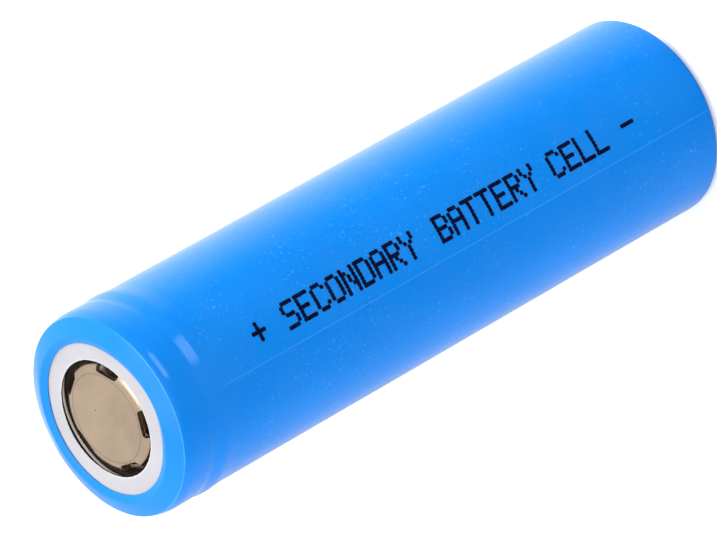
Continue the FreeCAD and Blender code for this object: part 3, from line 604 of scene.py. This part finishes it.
def merge_axis(piece):
    """Join the points of each turned row that lies on the axis."""
    shape = bmesh.new()
    shape.from_mesh(piece.data)
    middle = [v for v in shape.verts if math.hypot(v.co.x, v.co.y) < 1e-7]
    bmesh.ops.remove_doubles(shape, verts=middle, dist=1e-6)
    shape.to_mesh(piece.data)
    shape.free()
    piece.data.validate()


def make_gasket(material):
    outline = rounded([
        (1.32, 5.40, 0.06), (0.64, 7.50, 0.0), (0.61, 7.50, 0.0), (0.61, 8.71, 0.93), (3.02, 8.71, 0.1),
        (3.02, 6.60, 0.05), (2.50, 6.60, 0.0), (2.50, 8.12, 0.0), (1.55, 8.12, 0.0),
        (1.55, 5.40, 0.03)], 0.04)
    vertices, faces = swept(outline, even_azimuths(TURN_STEPS))
    add_piece("seal_ring", vertices, faces, material, replaces=("seal_gasket",))


# ---------------------------------------------------------------- cap

def window_outline():
    """Corners of one window in the plan, from the axis outwards, inner corners rounded."""
    points = [(WINDOW_HIGH, -WINDOW_HALF), (WINDOW_HIGH, WINDOW_HALF)]
    out = WINDOW_LOW + WINDOW_BEND
    for side, start in ((WINDOW_HALF - WINDOW_BEND, 90), (WINDOW_BEND - WINDOW_HALF, 180)):
        for step in range(9):
            turn = math.radians(start + 90 * step / 8)
            points.append((out + WINDOW_BEND * math.cos(turn), side + WINDOW_BEND * math.sin(turn)))
    return points


def make_window_cutter(azimuth):
    plan = window_outline()
    count = len(plan)
    vertices = []
    for depth in (0.20, 1.50):
        for x, y in plan:
            vertices.append(((x * math.cos(azimuth) - y * math.sin(azimuth)) * MM,
                             (x * math.sin(azimuth) + y * math.cos(azimuth)) * MM, (TOP - depth) * MM))
    faces = [tuple(range(count)), tuple(range(2 * count - 1, count - 1, -1))]
    for index in range(count):
        beside = (index + 1) % count
        faces.append((index, index + count, beside + count, beside))
    mesh = bpy.data.meshes.new("window_cutter")
    mesh.from_pydata(vertices, [], faces)
    return link(bpy.data.objects.new("window_cutter", mesh))


def make_cap(material):
    """Pressed cap, cut by its windows and with softened edges."""
    outline = rounded([
        (0.45, 0.0, 0.0), (0.45, 3.93, 0.0), (0.45, 3.95, 0.0), (0.462, 3.97, 0.0), (0.462, 3.99, 0.0),
        (0.45, 4.01, 0.0), (0.45, 4.03, 0.0), (0.45, 4.97, 0.90), (1.55, 5.05, 0.12), (1.55, 8.10, 0.05),
        (1.95, 8.10, 0.05), (1.95, 4.57, 0.05), (0.85, 4.57, 0.50), (0.85, 0.0, 0.0)], 0.03)
    outline = divided(outline, lambda depth, radius: 0.6)
    vertices, faces = swept(outline, even_azimuths(TURN_STEPS))
    piece = add_piece("cap_button", vertices, faces, material, replaces=("positive_cap",))
    merge_axis(piece)
    cutters = [make_window_cutter(WINDOW_AZIMUTH + 2 * math.pi * index / WINDOW_COUNT)
               for index in range(WINDOW_COUNT)]
    for cutter in cutters:
        cut = piece.modifiers.new("window", "BOOLEAN")
        cut.operation = "DIFFERENCE"
        cut.solver = "EXACT"
        cut.object = cutter
    soften = piece.modifiers.new("soften", "BEVEL")
    soften.width = 0.035 * MM
    soften.segments = 2
    soften.limit_method = "ANGLE"
    soften.angle_limit = math.radians(50)
    soften.use_clamp_overlap = True
    bpy.context.view_layer.update()
    depsgraph = bpy.context.evaluated_depsgraph_get()
    cut_mesh = bpy.data.meshes.new_from_object(piece.evaluated_get(depsgraph))
    piece.modifiers.clear()
    piece.data = cut_mesh
    for cutter in cutters:
        bpy.data.objects.remove(cutter)
    shape = bmesh.new()
    shape.from_mesh(cut_mesh)
    bmesh.ops.dissolve_degenerate(shape, dist=1e-7, edges=shape.edges)
    shape.to_mesh(cut_mesh)
    shape.free()
    cut_mesh.polygons.foreach_set("use_smooth", [True] * len(cut_mesh.polygons))
    cut_mesh.set_sharp_from_angle(angle=SHARP)


# ---------------------------------------------------------------- print

LETTERS = {
    "A": ".###. #...# #...# ##### #...# #...# #...#",
    "B": "####. #...# #...# ####. #...# #...# ####.",
    "C": ".###. #...# #.... #.... #.... #...# .###.",
    "D": "####. #...# #...# #...# #...# #...# ####.",
    "E": "##### #.... #.... ####. #.... #.... #####",
    "L": "#.... #.... #.... #.... #.... #.... #####",
    "N": "#...# ##..# #.#.# #.#.# #..## #...# #...#",
    "O": ".###. #...# #...# #...# #...# #...# .###.",
    "R": "####. #...# #...# ####. #.#.. #..#. #...#",
    "S": ".#### #.... #.... .###. ....# ....# ####.",
    "T": "##### ..#.. ..#.. ..#.. ..#.. ..#.. ..#..",
    "Y": "#...# #...# .#.#. ..#.. ..#.. ..#.. ..#..",
    "+": "..... ..#.. ..#.. ##### ..#.. ..#.. .....",
    "-": "..... ..... ..... ##### ..... ..... .....",
}
DOT_ALONG = 0.295
DOT_ACROSS = 0.345
LETTER_PITCH = 1.745
DOT_HALF_ALONG = 0.205
DOT_HALF_ACROSS = 0.195
INK_MARGIN = 0.35
INK_STEP = 0.045
INK_PROUD = 0.008
INK_FOOT = -0.012


def dots_of(text, start, draw):
    """Centres of a word's ink dots: (depth along the cell, distance round it)."""
    dots = []
    for place, letter in enumerate(text):
        for row, line in enumerate(LETTERS[letter].split()):
            for column, mark in enumerate(line):
                if mark == "#":
                    along = start + 0.16 + place * LETTER_PITCH + column * DOT_ALONG
                    across = (3 - row) * DOT_ACROSS
                    dots.append((along + draw.uniform(-0.012, 0.012), across + draw.uniform(-0.012, 0.012)))
    return dots


def ink_patch(dots):
    """Points and faces of merged ink dots in the plane of the film, and the edges along their rim."""
    centres = np.array(dots)
    low = centres.min(0) - INK_MARGIN
    counts = np.ceil((centres.max(0) + INK_MARGIN - low) / INK_STEP).astype(int) + 1
    along = low[0] + INK_STEP * np.arange(counts[0])
    across = low[1] + INK_STEP * np.arange(counts[1])
    field = np.full((counts[0], counts[1]), -4.0)
    for u, v in dots:
        reach = 1 - np.abs((along[:, None] - u) / DOT_HALF_ALONG) ** 2.6 \
            - np.abs((across[None, :] - v) / DOT_HALF_ACROSS) ** 2.6
        field = np.maximum(field, reach)
    points, numbers, faces, rim = [], {}, [], []

    def number(key, u, v):
        if key not in numbers:
            numbers[key] = len(points)
            points.append((u, v))
        return numbers[key]

    for i in range(counts[0] - 1):
        for j in range(counts[1] - 1):
            loop = ((i, j), (i + 1, j), (i + 1, j + 1), (i, j + 1))
            values = [field[c] for c in loop]
            if max(values) <= 0:
                continue
            polygon = []
            for k in range(4):
                a, b = loop[k], loop[(k + 1) % 4]
                fa, fb = values[k], values[(k + 1) % 4]
                if fa > 0:
                    polygon.append((number(a, along[a[0]], across[a[1]]), False))
                if (fa > 0) != (fb > 0):
                    share = fa / (fa - fb)
                    u = along[a[0]] + (along[b[0]] - along[a[0]]) * share
                    v = across[a[1]] + (across[b[1]] - across[a[1]]) * share
                    polygon.append((number(tuple(sorted((a, b))), u, v), True))
            if len(polygon) < 3:
                continue
            faces.append([p for p, _ in polygon])
            for k, (p, cut) in enumerate(polygon):
                q, cut_too = polygon[(k + 1) % len(polygon)]
                if cut and cut_too:
                    rim.append((p, q))
    return points, faces, rim


def make_print(name, words, material):
    """One closed patch of ink per word, standing on the film at the printed side."""
    draw = random.Random(11)
    vertices, faces = [], []
    for text, start in words:
        points, patch, rim = ink_patch(dots_of(text, start, draw))
        first = len(vertices)
        count = len(points)
        for proud in (INK_PROUD, INK_FOOT):
            for u, v in points:
                azimuth = PRINT_AZIMUTH + v / BODY_RADIUS
                radius = BODY_RADIUS + float(sleeve_relief(np.array(u), np.array(azimuth))) + proud
                vertices.append((radius * math.cos(azimuth) * MM, radius * math.sin(azimuth) * MM,
                                 (TOP - u) * MM))
        for face in patch:
            faces.append([first + p for p in face])
            faces.append([first + count + p for p in reversed(face)])
        for p, q in rim:
            faces.append([first + q, first + p, first + count + p, first + count + q])
    add_piece(name, vertices, faces, material)


# ---------------------------------------------------------------- carried-over nodes

def dress_nodes():
    """Materials for the sealed pieces that keep their shape from the frame."""
    black = dull_material("ptc_polymer_black", (0.012, 0.012, 0.013), (0.022, 0.022, 0.024), 0.55)
    green = dull_material("closing_tape_green", (0.02, 0.20, 0.09), (0.03, 0.27, 0.13), 0.28, 400.0, 0.004)
    aluminium = metal_material("vent_aluminium_sheet", (0.80, 0.80, 0.81), (0.88, 0.88, 0.89))
    amber = dull_material("polyimide_tape", (0.42, 0.17, 0.02), (0.52, 0.23, 0.035), 0.22, 400.0, 0.004)
    board = dull_material("fish_paper", (0.50, 0.53, 0.50), (0.60, 0.63, 0.60), 0.75, 900.0, 0.02)
    film = dull_material("porous_film", (0.80, 0.81, 0.82), (0.88, 0.89, 0.90), 0.45, 1400.0, 0.004)
    looks = {
        "ptc_ring": black,
        "vent_disc": aluminium,
        "vent_diaphragm": aluminium,
        "cid_plate": aluminium,
        "cid_insulator": dull_material("insulator_nylon", (0.62, 0.62, 0.58), (0.72, 0.72, 0.68), 0.40),
        "positive_tab": metal_material("tab_aluminium_strip", (0.82, 0.82, 0.83), (0.90, 0.90, 0.90)),
        "positive_tab_tape": amber,
        "negative_tab_tape": amber,
        "top_insulator": board,
        "bottom_insulator": board,
        "cathode_strip": dull_material("cathode_black", (0.018, 0.018, 0.020), (0.034, 0.034, 0.036), 0.82),
        "anode_strip": dull_material("anode_graphite", (0.040, 0.040, 0.044), (0.075, 0.073, 0.075), 0.62),
        "inner_separator": film,
        "outer_separator": film,
        "closing_tape": green,
        "centre_pin": metal_material("pin_steel_rolled", (0.54, 0.54, 0.55), (0.66, 0.66, 0.67)),
        "negative_tab": metal_material("tab_nickel_strip", (0.60, 0.57, 0.50), (0.70, 0.66, 0.58)),
    }
    for name, material in looks.items():
        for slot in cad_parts[name].material_slots:
            slot.material = material


# ---------------------------------------------------------------- assembly

make_camera()
make_studio()
make_floor()
dress_nodes()
make_sleeve(film_material())
make_washer(washer_material())
make_can(metal_material("can_steel_plated", (0.60, 0.54, 0.46), (0.70, 0.64, 0.55), (0.16, 0.26)))
make_gasket(dull_material("gasket_brown", (0.030, 0.019, 0.012), (0.050, 0.032, 0.021), 0.45))
make_cap(nickel_material())
ink = ink_material()
make_print("plus_mark", [("+", 10.75)], ink)
make_print("minus_mark", [("-", 54.85)], ink)
make_print("print_line", [("SECONDARY", 14.40), ("BATTERY", 32.35), ("CELL", 46.05)], ink)
